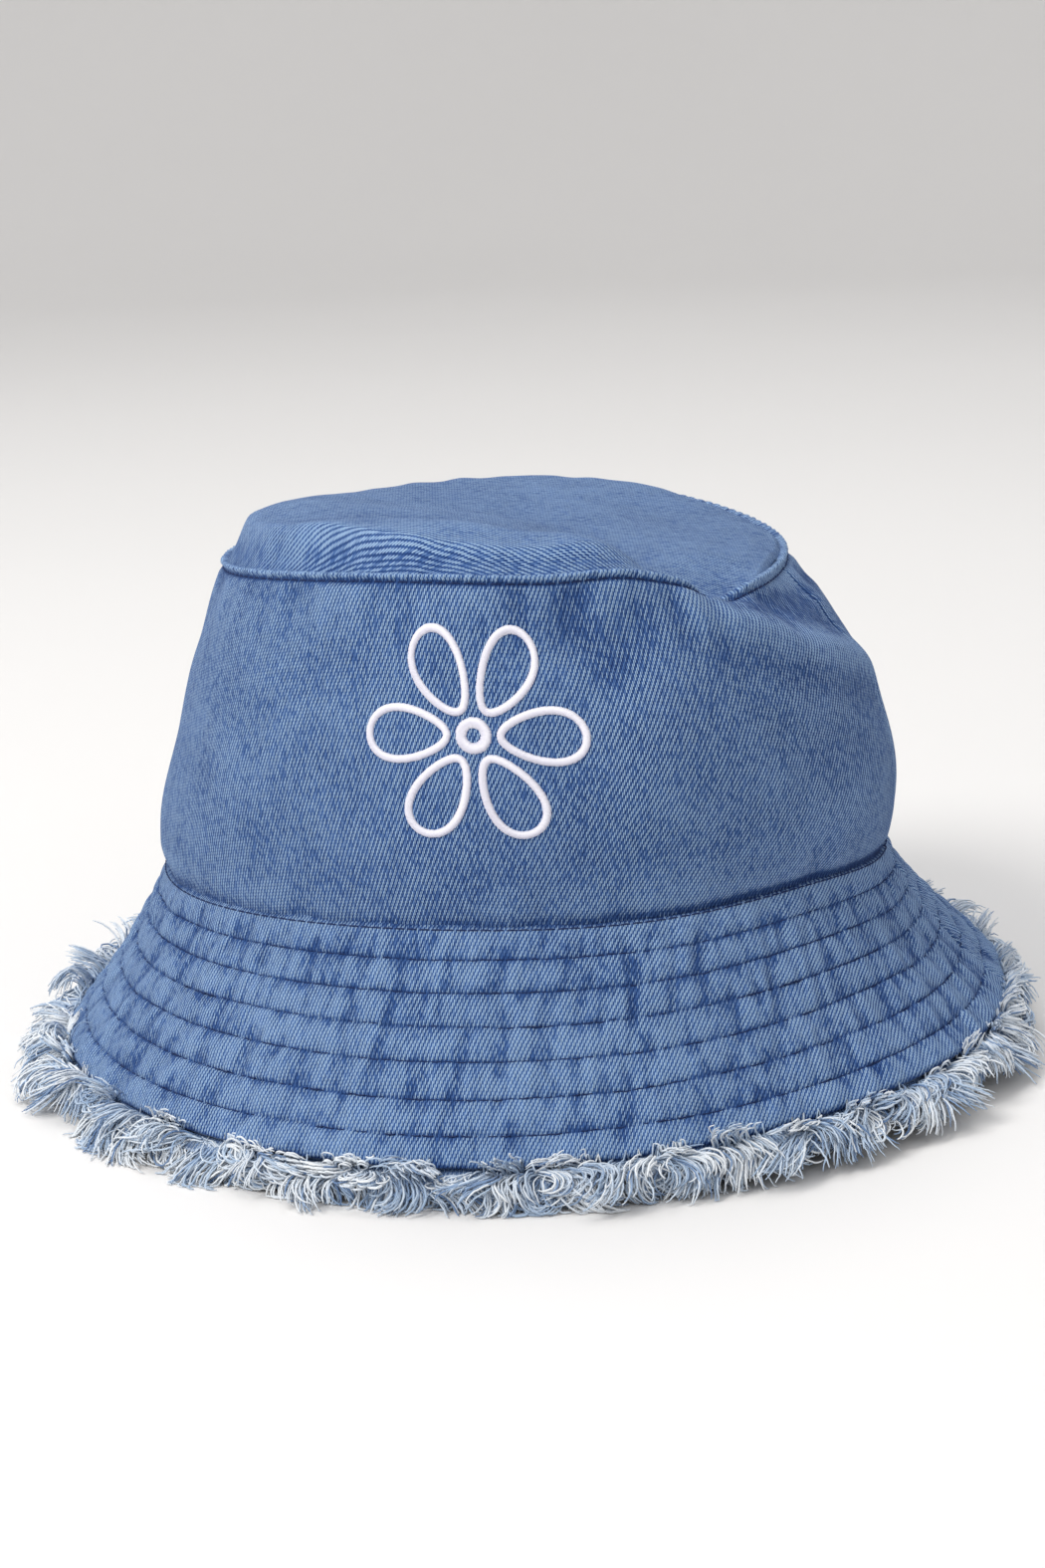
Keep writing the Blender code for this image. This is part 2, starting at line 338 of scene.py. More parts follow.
def over_top(angle, level):
    """How far the wall's top edge shifts in and up, as it turns in at the tip seam."""
    past = np.clip((level - 1.0) / (CROWN_TOP - 1.0), 0.0, 1.0)
    hidden = hidden_seam(angle)
    inward = past**0.7 * mix(0.0037, 0.0042, hidden) + seam_pull(angle) * smooth(level, 0.87, 0.995)
    lift = seam_rise(angle) * smooth(level, 0.72, 0.97) - 0.0046 * hidden * smooth(level, 0.925, 0.995)
    return inward, lift - past**1.3 * 0.0026


def sewn_reach(angle, reach):
    """Reach with the slight wander that the rows of stitching have."""
    return reach + lumps(ROW_WANDER, ring(angle, reach * 0.15, HEM_RADIUS))


def row_place(angle, reach):
    """Reach counted in rows of stitching: 0 at the crown seam, one past the last at the edge."""
    marks = (0.0, *ROW_REACHES, 1.0)
    return np.interp(sewn_reach(angle, reach), marks, np.arange(len(marks)))


def brim_wave(angle, reach):
    return reach**2 * lumps(BRIM_WAVE, ring(angle, reach * BRIM_WIDTH * 0.3, HEM_RADIUS))


def brim_relief(angle, reach):
    place = row_place(angle, reach)
    share = np.clip(place - np.floor(place), 0.0, 1.0)
    near = np.minimum(share, 1 - share)
    puff = PUFF * np.sin(math.pi * share) ** 0.7
    along = reach * BRIM_WIDTH
    skew = angle + 1.2 * along
    channel = 0.013 * np.floor(place)
    long = lumps(LONG_PUCKERS, ring(skew, along * 0.30, HEM_RADIUS))
    short = lumps(SHORT_PUCKERS, ring(skew, along * 0.45 + channel, HEM_RADIUS))
    broad = lumps(BROAD_PUCKERS, ring(skew, along * 0.5, HEM_RADIUS))
    pucker = long * (0.7 + 0.6 * near) + short * (1.2 - 1.4 * near) + broad * (0.5 + near)
    pucker = pucker * smooth(reach, 0.0, 0.10)
    row = -0.00040 * bell(near, 0.0, 0.035) * smooth(reach, 0.05, 0.10) * smooth(reach, 0.98, 0.93)
    ends = smooth(reach, 0.0, 0.02) * smooth(reach, 1.0, 0.985)
    tuck = -0.0010 * overhang(angle) * smooth(reach, 0.030, 0.0)
    tuck = tuck - 0.0005 * smooth(reach, 0.975, 1.0) ** 2
    return (puff + pucker) * ends + row + brim_wave(angle, reach) + tuck + side_seam(angle, HEM_RADIUS)


def scuffs(angle, reach):
    """Pale scuffed patches on the brim, finer than its puckers, from about -1 to 1."""
    along = reach * BRIM_WIDTH
    skew = angle + 1.2 * along
    coarse = lumps(COARSE_SCUFFS, ring(skew, along * 0.40, HEM_RADIUS))
    return coarse + lumps(FINE_SCUFFS, ring(skew, along * 0.45, HEM_RADIUS))


def tip_relief(angle, share):
    """The soft top: pillows at the front and left, and a valley that runs back from the fold."""
    place = tip_form(angle, share)
    x, y = place[..., 0], place[..., 1]
    soft = smooth(share, 1.0, 0.78) * (lumps(TOP_SOFT, place) + lumps(TOP_RIPPLE, place))
    puckers = smooth(share, 0.80, 0.97) * lumps(TOP_PUCKERS, ring(angle, share * 0.02, TIP_X))
    raised = 0.0014 * smooth(x, 0.060, 0.020) + 0.0012 * smooth(y, 0.02, 0.07)
    for height, middle_x, half_x, middle_y, half_y in PILLOWS:
        raised = raised + height * bell(x, middle_x, half_x) * bell(y, middle_y, half_y)
    across = (x - 0.050) * 0.86 + (y + 0.062) * 0.50
    valley = -0.0050 * bell(across, 0.0, 0.016) * smooth(y, 0.040, -0.030)
    sink = -0.0060 * bell(front_turn(angle), 56.0, 16.0) * smooth(share, 0.62, 0.95)
    return soft + puckers + smooth(share, 1.0, 0.91) * (raised + valley) + sink


def crown_face(angle, level):
    relief = crown_relief(angle, level)[..., None]
    below = np.minimum(level, 1.0)
    inward, lift = over_top(angle, level)
    inset = stacked(-inward * np.cos(angle), -inward * np.sin(angle), lift)
    return crown_form(angle, below) + relief * normals(crown_form, angle, below) + inset


def brim_face(angle, reach):
    relief = brim_relief(angle, reach)[..., None]
    return brim_form(angle, reach) - relief * normals(brim_form, angle, reach)


def brim_under(angle, reach):
    """The lower cloth's outer face, which is quieter than the upper one."""
    wave = brim_wave(angle, reach)
    calm = 0.6 * (brim_relief(angle, reach) - wave) - wave
    depth = BRIM_DEPTH + calm - 0.0010 * smooth(reach, 0.86, 1.0)
    return brim_form(angle, reach) + depth[..., None] * normals(brim_form, angle, reach)


def tip_face(angle, share):
    inset = 0.0006 + seam_pull(angle) * smooth(share, 0.75, 1.0)
    place = tip_form(angle, share * (1.0 - inset / TIP_X))
    rim = seam_rise(angle) * smooth(share, 0.60, 1.0)
    rim = rim - (crevice(angle) + 0.0002) * smooth(share, 0.975, 1.0)
    return place + stacked(0.0, 0.0, rim + tip_relief(angle, share))


# Meshes


def placed(name, data):
    """A new object in the scene."""
    obj = bpy.data.objects.new(name, data)
    bpy.context.scene.collection.objects.link(obj)
    return obj


def new_object(name, points, faces, material):
    """A smooth mesh from an array of points and an array of quads."""
    mesh = bpy.data.meshes.new(name)
    mesh.vertices.add(len(points))
    mesh.vertices.foreach_set("co", points.astype(np.float32).ravel())
    mesh.loops.add(faces.size)
    mesh.loops.foreach_set("vertex_index", faces.astype(np.int32).ravel())
    mesh.polygons.add(len(faces))
    mesh.polygons.foreach_set("loop_start", np.arange(0, faces.size, 4, dtype=np.int32))
    mesh.update(calc_edges=True)
    mesh.shade_smooth()
    mesh.materials.append(material)
    return placed(name, mesh)


def add_uv(obj, faces, uv):
    layer = obj.data.uv_layers.new(name="cloth")
    layer.data.foreach_set("uv", uv[faces.ravel()].astype(np.float32).ravel())


def add_values(obj, name, values):
    layer = obj.data.attributes.new(name, "FLOAT", "POINT")
    layer.data.foreach_set("value", values.astype(np.float32).ravel())


def grid_faces(rows, columns, flip):
    """Quads over a grid of points, row by row."""
    corner = np.arange(rows - 1)[:, None] * columns + np.arange(columns - 1)[None, :]
    quads = np.stack([corner, corner + 1, corner + columns + 1, corner + columns], axis=-1)
    quads = quads.reshape(-1, 4)
    return quads[:, ::-1] if flip else quads


def cloth(name, points, uv, wear_and_shade, materials, thickness, flip=False):
    """A shell of cloth, its outer face on a grid of points, and its reverse in the second material."""
    rows, columns = points.shape[:2]
    faces = grid_faces(rows, columns, flip)
    obj = new_object(name, points.reshape(-1, 3), faces, materials[0])
    obj.data.materials.append(materials[1])
    add_uv(obj, faces, np.broadcast_to(uv, (rows, columns, 2)).reshape(-1, 2))
    # The points carry one value that the denim and tape shaders read: real wear, and on some pieces
    # painted shade as well.
    add_values(obj, "wear_and_shade", np.broadcast_to(wear_and_shade, (rows, columns)))
    solid = obj.modifiers.new("thickness", "SOLIDIFY")
    solid.thickness = thickness
    solid.offset = -1.0
    solid.material_offset = 1
    solid.material_offset_rim = 1
    return obj


def blurred(values, reach):
    """Values averaged over a square of neighbours, by sums along each axis."""
    for axis in (0, 1):
        wide = np.concatenate(
            [np.repeat(np.take(values, [0], axis), reach + 1, axis), values,
             np.repeat(np.take(values, [-1], axis), reach, axis)],
            axis,
        )
        sums = np.cumsum(wide, axis)
        count = values.shape[axis]
        high = np.take(sums, np.arange(2 * reach + 1, 2 * reach + 1 + count), axis)
        low = np.take(sums, np.arange(0, count), axis)
        values = (high - low) / (2 * reach + 1)
    return values


def wear(relief, reach):
    """How worn the cloth is, from about -1 in creases to 1 on ridges as wide as reach, in cells."""
    ridge = relief - blurred(relief, round(reach * DETAIL))
    return 1.2 * np.tanh(ridge / 0.00045)


def lattice(start, end, columns, low, high, rows):
    """Angles and shares on a grid, one row for each share."""
    angles = np.linspace(start, end, round(columns * DETAIL) + 1)
    shares = np.linspace(low, high, round(rows * DETAIL) + 1)
    return np.meshgrid(angles, shares)


def tubes(name, paths, radii, material, values=(), sides=6):
    """Round threads along many paths of equal length: an array of paths, points and x, y, z."""
    count, length = paths.shape[:2]
    ahead = unit(np.gradient(paths, axis=1) + 1e-12)
    here = np.cross(ahead[:, 0], [0.0, 0.0, 1.0])
    upright = np.linalg.norm(here, axis=-1) < 0.1
    here[upright] = np.cross(ahead[upright, 0], [1.0, 0.0, 0.0])
    side = np.zeros_like(paths)
    for step in range(length):
        here = here - ahead[:, step] * np.sum(here * ahead[:, step], axis=-1, keepdims=True)
        here = unit(here)
        side[:, step] = here
    other = np.cross(ahead, side)
    turns = np.linspace(0, TURN, sides, endpoint=False)
    radii = np.broadcast_to(radii, (count, length))[..., None, None]
    rim = side[:, :, None] * np.cos(turns)[:, None] + other[:, :, None] * np.sin(turns)[:, None]
    points = paths[:, :, None] + radii * rim
    first = np.arange(count)[:, None] * length * sides
    corner = first[..., None] + np.arange(length - 1)[:, None] * sides
    turn = np.arange(sides)
    after = (turn + 1) % sides
    walls = [corner + turn, corner + after, corner + after + sides, corner + turn + sides]
    faces = [np.stack(walls, axis=-1).reshape(-1, 4)]
    last = first + (length - 1) * sides
    for cap in ([0, 3, 2, 1], [0, 5, 4, 3])[: (sides - 2) // 2]:
        faces += [first + np.array(cap), last + np.array(cap[::-1])]
    faces = np.concatenate(faces)
    obj = new_object(name, points.reshape(-1, 3), faces, material)
    shape = (count, length, sides)
    steps = np.linalg.norm(np.diff(paths, axis=1), axis=-1)
    run = np.concatenate([np.zeros((count, 1)), np.cumsum(steps, axis=1)], axis=1)
    uv = [np.broadcast_to(turns / TURN, shape), np.broadcast_to(run[..., None], shape)]
    add_uv(obj, faces, np.stack(uv, axis=-1).reshape(-1, 2))
    for key, value in values:
        add_values(obj, key, np.broadcast_to(value[..., None], shape))
    return obj


def finished(obj, slot, *nodes):
    """The piece rides on the hat's one body and stands for CAD nodes."""
    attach(obj, "root")
    if nodes:
        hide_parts(*nodes)
    return obj


# Materials. Colours are linear.


class Graph:
    """Short calls for building one material's nodes."""

    def __init__(self, name, roughness, specular, sheen=0.0):
        self.material = bpy.data.materials.new(name)
        self.material.use_nodes = True
        self.tree = self.material.node_tree
        self.shader = self.tree.nodes["Principled BSDF"]
        for socket, value in (("Roughness", roughness), ("Specular IOR Level", specular),
                              ("Sheen Weight", sheen), ("Sheen Roughness", 0.5)):
            self.shader.inputs[socket].default_value = value

    def node(self, kind, *inputs, **settings):
        node = self.tree.nodes.new(kind)
        for key, value in settings.items():
            setattr(node, key, value)
        for place, value in enumerate(inputs):
            self.put(node.inputs[place], value)
        return node

    def put(self, socket, value):
        if isinstance(value, bpy.types.NodeSocket):
            self.tree.links.new(value, socket)
        elif value is not None:
            socket.default_value = value

    def math(self, operation, *values):
        return self.node("ShaderNodeMath", *values, operation=operation).outputs[0]

    def clamp(self, value, low, high):
        """0 below low and 1 above high, with soft ends."""
        node = self.node("ShaderNodeMapRange", value, low, high, interpolation_type="SMOOTHSTEP")
        return node.outputs[0]

    def blend(self, share, low, high):
        """A colour between two colours."""
        node = self.node("ShaderNodeMix", data_type="RGBA")
        self.put(node.inputs["Factor"], share)
        for socket, value in ((node.inputs["A"], low), (node.inputs["B"], high)):
            self.put(socket, (*value, 1.0) if isinstance(value, tuple) else value)
        return node.outputs["Result"]

    def place(self):
        """U and V of the cloth's own coordinates, in metres."""
        uv = self.node("ShaderNodeUVMap", uv_map="cloth").outputs[0]
        split = self.node("ShaderNodeSeparateXYZ", uv)
        return split.outputs[0], split.outputs[1]

    def vector(self, x, y, z=0.0):
        return self.node("ShaderNodeCombineXYZ", x, y, z).outputs[0]

    def noise(self, vector, detail=2.0):
        node = self.node("ShaderNodeTexNoise")
        self.put(node.inputs["Vector"], vector)
        node.inputs["Scale"].default_value = 1.0
        node.inputs["Detail"].default_value = detail
        return node.outputs[0]

    def scaled_noise(self, x, y, width, height, detail=2.0):
        """Noise from 0 to 1 in lumps of a width and height in metres."""
        spot = self.vector(self.math("DIVIDE", x, width), self.math("DIVIDE", y, height))
        return self.noise(spot, detail)

    def attribute(self, name):
        return self.node("ShaderNodeAttribute", attribute_name=name).outputs["Fac"]

    def finish(self, color, height=None, depth=0.0001):
        self.put(self.shader.inputs["Base Color"], color)
        if height is not None:
            bump = self.node("ShaderNodeBump")
            bump.inputs["Strength"].default_value = 1.0
            bump.inputs["Distance"].default_value = depth
            self.put(bump.inputs["Height"], height)
            self.put(self.shader.inputs["Normal"], bump.outputs[0])
        return self.material


# Denim's slubs, grain, wash marks and clouds: width and height in metres, detail, strength.
DENIM_TONES = (
    (0.0009, 0.006, 3.0, 0.20),
    (0.0013, 0.0018, 2.0, 0.40),
    (0.010, 0.014, 1.0, 0.20),
    (0.050, 0.050, 1.0, 0.20),
)


def denim(name, dark, middle, light, contrast=1.0):
    """Washed twill: pale flecks along the warp, stepping up to the right, over a dark ground."""
    graph = Graph(name, 0.92, 0.12, 0.03)
    u, v = graph.place()
    sway = graph.scaled_noise(u, v, 0.005, 0.008)
    across = graph.math("ADD", graph.math("DIVIDE", u, WARP_PITCH), graph.math("MULTIPLY", sway, 1.6))
    up = graph.math("DIVIDE", v, WEFT_PITCH)
    column = graph.math("FLOOR", across)
    inside = graph.math("FRACT", across)
    steps = graph.math("DIVIDE", graph.math("SUBTRACT", up, column), 3.0)
    cell = graph.math("FLOOR", steps)
    along = graph.math("FRACT", steps)
    off = graph.math("ABSOLUTE", graph.math("SUBTRACT", inside, 0.5))
    yarn = graph.clamp(off, 0.62, 0.12)
    rising = graph.clamp(along, 0.0, 0.20)
    falling = graph.clamp(along, 0.80, 0.54)
    floats = graph.math("MULTIPLY", yarn, graph.math("MULTIPLY", rising, falling))
    chance = graph.node("ShaderNodeTexWhiteNoise", noise_dimensions="2D")
    graph.put(chance.inputs["Vector"], graph.vector(column, cell))
    fleck = graph.math("MULTIPLY_ADD", chance.outputs[0], 0.90, 0.50)
    floats = graph.math("MULTIPLY", floats, fleck)
    # Lighter where the cloth is worn, and darker where painted shade was added to the same value.
    wear_and_shade = graph.attribute("wear_and_shade")
    tone = graph.math("MULTIPLY", wear_and_shade, 0.11)
    for width, height, detail, strength in DENIM_TONES:
        patch = graph.scaled_noise(u, v, width, height, detail)
        patch = graph.math("MULTIPLY_ADD", patch, strength, -strength / 2)
        tone = graph.math("ADD", tone, patch)
    strong = graph.math("MULTIPLY_ADD", wear_and_shade, 0.28 * contrast, 0.86 * contrast)
    share = graph.math("MULTIPLY_ADD", floats, strong, 0.20)
    share = graph.math("ADD", share, tone)
    low = graph.blend(graph.clamp(share, 0.0, 0.55), dark, middle)
    color = graph.blend(graph.clamp(share, 0.45, 1.05), low, light)
    return graph.finish(color, floats, WEAVE_DEPTH)


def thread(name, dark, light, roughness, twist=0.0011, specular=0.25, sheen=0.0):
    """Plied thread: a fine twist round its length."""
    graph = Graph(name, roughness, specular, sheen)
    around, along = graph.place()
    turn = graph.math("ADD", around, graph.math("DIVIDE", along, twist))
    ply = graph.math("ABSOLUTE", graph.math("SUBTRACT", graph.math("FRACT", turn), 0.5))
    tone = graph.scaled_noise(along, around, 0.006, 1.0)
    share = graph.math("ADD", ply, graph.math("MULTIPLY", tone, 0.6))
    return graph.finish(graph.blend(graph.clamp(share, 0.15, 1.0), dark, light), ply, 0.00006)


def frayed_cotton():
    """Loose yarns: white weft and washed blue warp, each with its own tone, bluer at the root."""
    graph = Graph("frayed_cotton", 0.95, 0.12, 0.25)
    around, along = graph.place()
    turn = graph.math("ADD", graph.math("MULTIPLY", around, 2.0), graph.math("DIVIDE", along, 0.0012))
    ply = graph.math("ABSOLUTE", graph.math("SUBTRACT", graph.math("FRACT", turn), 0.5))
    tone = graph.attribute("tone")
    speck = graph.scaled_noise(along, around, 0.0015, 0.5)
    share = graph.math("ADD", tone, graph.math("MULTIPLY_ADD", speck, 0.24, -0.12))
    share = graph.math("ADD", share, graph.math("MULTIPLY_ADD", ply, 0.20, -0.06))
    blue = graph.blend(graph.clamp(share, 0.0, 0.5), (0.13, 0.22, 0.40), (0.39, 0.51, 0.67))
    color = graph.blend(graph.clamp(share, 0.35, 1.0), blue, (0.80, 0.84, 0.88))
    return graph.finish(color, ply, 0.00008)


def tape(name, dark, light, pitch):
    """Plain-woven tape: small over-and-under crossings."""
    graph = Graph(name, 0.9, 0.2, 0.1)
    u, v = graph.place()
    one = graph.math("SINE", graph.math("MULTIPLY", u, TURN / pitch))
    two = graph.math("SINE", graph.math("MULTIPLY", v, TURN / pitch))
    weave = graph.math("MULTIPLY_ADD", graph.math("MULTIPLY", one, two), 0.5, 0.5)
    tone = graph.scaled_noise(u, v, 0.004, 0.012, 3.0)
    share = graph.math("ADD", graph.math("MULTIPLY", weave, 0.6), graph.math("MULTIPLY", tone, 0.5))
    share = graph.math("ADD", share, graph.math("MULTIPLY", graph.attribute("wear_and_shade"), 0.10))
    return graph.finish(graph.blend(graph.clamp(share, 0.1, 1.0), dark, light), weave, 0.00010)


def floor_paint():
    """Pale matte paper with the faintest mottling."""
    graph = Graph("studio_floor", 0.85, 0.2)
    spot = graph.node("ShaderNodeTexCoord").outputs["Object"]
    mottle = graph.noise(spot, 3.0)
    return graph.finish(graph.blend(mottle, (0.74, 0.73, 0.72), (0.80, 0.79, 0.78)))


DENIM = denim("washed_denim", (0.009, 0.030, 0.120), (0.050, 0.122, 0.325), (0.34, 0.49, 0.70))
REVERSE = denim("denim_reverse", (0.10, 0.15, 0.27), (0.28, 0.36, 0.50), (0.56, 0.62, 0.70), 0.7)
STRIP = denim("pale_denim", (0.040, 0.080, 0.190), (0.150, 0.240, 0.420), (0.50, 0.60, 0.72), 0.8)
NAVY = thread("navy_thread", (0.010, 0.018, 0.062), (0.034, 0.056, 0.150), 0.8, specular=0.1)
SATIN = thread("white_satin", (0.66, 0.65, 0.76), (0.90, 0.89, 0.95), 0.42, 0.0022, 0.4, 0.2)
YARNS = frayed_cotton()
TAPE = tape("cotton_tape", (0.020, 0.032, 0.070), (0.090, 0.125, 0.220), 0.0011)
CANVAS = tape("stiff_canvas", (0.45, 0.43, 0.38), (0.72, 0.70, 0.64), 0.0016)
LABEL = tape("label_satin", (0.74, 0.73, 0.72), (0.88, 0.87, 0.86), 0.0007)


# Cloth pieces


def half_ends(middle):
    """A half's two ends, a hair short of the side seams."""
    return middle - TURN / 4 + HALF_MARGIN, middle + TURN / 4 - HALF_MARGIN


def add_side_panel(side, middle):
    start, end = half_ends(middle)
    angle, level = lattice(start, end, 600, -0.010, CROWN_TOP, 140)
    ridge = smooth(level, RIDGE_LEVEL - 0.002, RIDGE_LEVEL + 0.010)
    grit = lumps(RIDGE_GRIT, ring(angle, level * WALL, WALL_RADIUS))
    wear_and_shade = 0.8 * wear(crown_relief(angle, level), 10) + ridge * (1.3 * pinched(angle) + grit)
    wear_and_shade = wear_and_shade - bell(level, TIP_ROW, 0.005)
    # Painted shadow: darker along the foot of the wall, most where the crown hangs over the brim seam.
    wear_and_shade = wear_and_shade - 0.8 * overhang(angle) * bell(level, 0.0, 0.012)
    # Painted shade: darker in the line between the tip seam's ridge and the tip, except where the fold
    # hides it.
    wear_and_shade = wear_and_shade - 1200.0 * crevice(angle) * smooth(level, 0.996, 1.008) * (1.0 - hidden_seam(angle))
    uv = cone_uv(angle, -level * WALL, middle, BASE_Y / WALL_CONE, WALL_CONE)
    panel = cloth(f"side_panel_{side}_denim", crown_face(angle, level), uv, wear_and_shade,
                  (DENIM, REVERSE), DENIM_THICK)
    return finished(panel, "washed_denim", f"side_panel_{side}")


def add_tip():
    """The oval top, on a square grid bent into a disc."""
    line = np.linspace(-1, 1, round(230 * DETAIL))
    across, along = np.meshgrid(line, line)
    x, y = across * np.sqrt(1 - along**2 / 2), along * np.sqrt(1 - across**2 / 2)
    angle, share = np.arctan2(y, x), np.hypot(x, y)
    points = tip_face(angle, share)
    # Painted light: the top made paler from a little behind its front edge backwards, fading out towards
    # the rim.
    painted_top_light = 0.25 * smooth(points[..., 1], -0.055, -0.020) * smooth(share, 1.0, 0.85)
    wear_and_shade = 0.5 * wear(tip_relief(angle, share), 8) + 0.4 * bell(share, 0.975, 0.02) + painted_top_light
    cosine, sine = math.cos(TIP_GRAIN), math.sin(TIP_GRAIN)
    uv = points[..., :2] @ np.array([[cosine, sine], [-sine, cosine]])
    tip = cloth("crown_tip_denim", points, uv, wear_and_shade, (DENIM, REVERSE), DENIM_THICK)
    return finished(tip, "washed_denim", "crown_tip")


def cone_uv(angle, run, middle, radius, cone):
    """A half laid flat as a sector of a ring, so that the weave runs straight over it."""
    radius = radius + run
    turn = cone * wrapped(angle, middle)
    return np.stack([radius * np.sin(turn), -radius * np.cos(turn)], axis=-1)


def brim_uv(angle, reach, middle):
    return cone_uv(angle, reach * BRIM_WIDTH, middle, BASE_Y / CONE, CONE)


def add_brim_half(side, middle):
    start, end = half_ends(middle)
    angle, reach = lattice(start, end, 560, -0.05, 1.0, 136)
    relief = brim_relief(angle, reach)
    place = row_place(angle, reach)
    rows = bell(place - np.round(place), 0.0, 0.035)
    rows = rows * smooth(reach, 0.06, 0.12) * smooth(reach, 0.96, 0.90)
    wear_and_shade = 0.15 + 0.9 * wear(relief, 10) + 0.9 * scuffs(angle, reach) + 0.4 * (reach - 0.4)
    wear_and_shade = BRIM_FADE * np.tanh(wear_and_shade / BRIM_FADE) - 0.6 * rows
    # Painted shadow: darker on the brim beside the crown seam, most where the crown hangs over it.
    wear_and_shade = wear_and_shade - 0.8 * overhang(angle) * smooth(reach, 0.025, 0.0)
    # A worn, paler band just inside the folded edge, then painted shade on the last of the edge where it
    # turns under.
    wear_and_shade = wear_and_shade + 0.2 * smooth(reach, 0.955, 0.985) - 1.2 * smooth(reach, 0.985, 1.0)
    uv = brim_uv(angle, reach, middle)
    upper = cloth(f"brim_upper_{side}_denim", brim_face(angle, reach), uv, wear_and_shade,
                  (DENIM, REVERSE), DENIM_THICK, flip=True)
    angle, reach = lattice(start, end, 300, 0.0, 1.0, 70)
    wear_and_shade = wear(brim_relief(angle, reach), 5)
    uv = brim_uv(angle, reach, middle)
    lower = cloth(f"brim_lower_{side}_denim", brim_under(angle, reach), uv, wear_and_shade,
                  (DENIM, REVERSE), DENIM_THICK)
    for piece, layer in ((upper, "upper"), (lower, "lower")):
        finished(piece, "washed_denim", f"brim_{layer}_{side}")


def add_interlining():
    """The stiffener between the brim's two layers."""
    angle, reach = lattice(0.0, TURN, 300, 0.045, 0.88, 40)
    points = brim_under(angle, reach) - INTERLINING_RISE * normals(brim_form, angle, reach)
    uv = brim_uv(angle, reach, FRONT)
    piece = cloth("brim_interlining_canvas", points, uv, 0.0 * angle, (CANVAS, CANVAS), TAPE_THICK)
    return finished(piece, "stiff_canvas", "brim_interlining")


def add_strip():
    """The raw-edged strip under the brim's folded edge, which the yarns fray out of."""
    angle, reach = lattice(0.0, TURN, 900, 0.90, STRIP_END, 12)
    past = np.clip(reach - 1.0, 0.0, None)
    ragged = past * lumps(STRIP_RAGS, ring(angle, past, HEM_RADIUS))
    points = brim_form(angle, reach + ragged)
    down = STRIP_DEPTH + lumps(STRIP_WAVE, ring(angle, reach * 0.02, HEM_RADIUS))
    down = down - 0.0006 * smooth(reach, 1.0, 1.08)
    points = points + down[..., None] * normals(brim_form, angle, reach)
    points[..., 2] += STRIP_UPTURN * (past / (STRIP_END - 1.0)) ** 2
    uv = np.stack([angle * HEM_RADIUS, -reach * BRIM_WIDTH], axis=-1)
    # Paler towards the raw, frayed end; painted shade where the strip runs in under the brim's folded
    # edge.
    wear_and_shade = 0.8 * smooth(reach, 1.03, 1.085) - 1.5 * smooth(reach, 1.02, 1.0)
    strip = cloth("fringe_strip_denim", points, uv, wear_and_shade, (STRIP, REVERSE), 0.0006, flip=True)
    return finished(strip, "pale_denim", "fringe_strip")


# Lining and tapes inside the crown


def add_band(name, node, start, end, low, high, depth, grid, material=TAPE, slot="cotton_tape"):
    """A tape on the inside of the side wall, following its waves."""
    angle, level = lattice(start, end, grid[0], low, high, grid[1])
    points = crown_face(angle, level) - depth * normals(crown_face, angle, level)
    hems = np.abs(2 * (level - low) / (high - low) - 1)
    ripple = hems * lumps(TAPE_RIPPLE, ring(angle, level * 0.03, WALL_RADIUS))
    points = points - ripple[..., None] * normals(crown_form, angle, level)
    uv = np.stack([angle * WALL_RADIUS, level * WALL], axis=-1)
    wear_and_shade = 2.0 * smooth(hems, 0.80, 0.95) - 0.5
    band = cloth(name, points, uv, wear_and_shade, (material, material), TAPE_THICK)
    return finished(band, slot, node)


def add_lining():
    depth = DENIM_THICK + 0.0005
    add_band("sweatband_tape", "sweatband", 0.0, TURN, 0.02, 0.38, depth, (360, 26))
    add_band("tip_seam_binding", "tip_seam_tape", 0.0, TURN, 0.87, 0.96, depth, (300, 8))
    for side, middle in (("right", RIGHT), ("left", RIGHT + TURN / 2)):
        add_band(f"side_seam_binding_{side}", f"side_seam_tape_{side}", middle - 0.06, middle + 0.06,
                 0.40, 0.85, depth, (14, 36))
    add_band("care_label_satin", "care_label_blank", -FRONT - 0.13, -FRONT + 0.13, 0.08, 0.30,
             depth + TAPE_THICK + 0.0006, (30, 22), LABEL, "white_satin")


# Thread


def ring_length(face, share):
    angle = np.linspace(0, TURN, 361)
    points = face(angle, np.full_like(angle, share))
    return np.linalg.norm(np.diff(points, axis=0), axis=-1).sum()


def stitches(surface, outward, share, wander, seed, count=None):
    """A ring of stitches on a surface, each a short bowed thread whose ends dive into the cloth."""
    count = count or round(ring_length(surface, share) / STITCH_PITCH)
    chance = np.random.default_rng(seed)
    begin = np.arange(count) + chance.uniform(-0.05, 0.05, count)
    reach = np.linspace(0.0, STITCH_SHARE, 7)
    angle = (begin[:, None] + reach) * TURN / count
    place = wander(angle, np.full_like(angle, share))
    points = surface(angle, place)
    bow = np.sin(math.pi * reach / STITCH_SHARE) ** 0.6 * 1.9 - 1.0
    lift = outward * THREAD_RADIUS * bow[None, :, None]
    return points + lift * normals(surface, angle, place)


def unsewn(angle, share):
    """The share at which a row of stitching lies, undoing the wander that the relief was given."""
    return share - (sewn_reach(angle, share) - share)


def level_row(angle, share):
    return share + lumps(STITCH_WANDER, ring(angle, share, WALL_RADIUS))


def add_thread(node, paths, radius=THREAD_RADIUS):
    finished(tubes(f"{node}_thread", paths, radius, NAVY), "navy_thread", node)


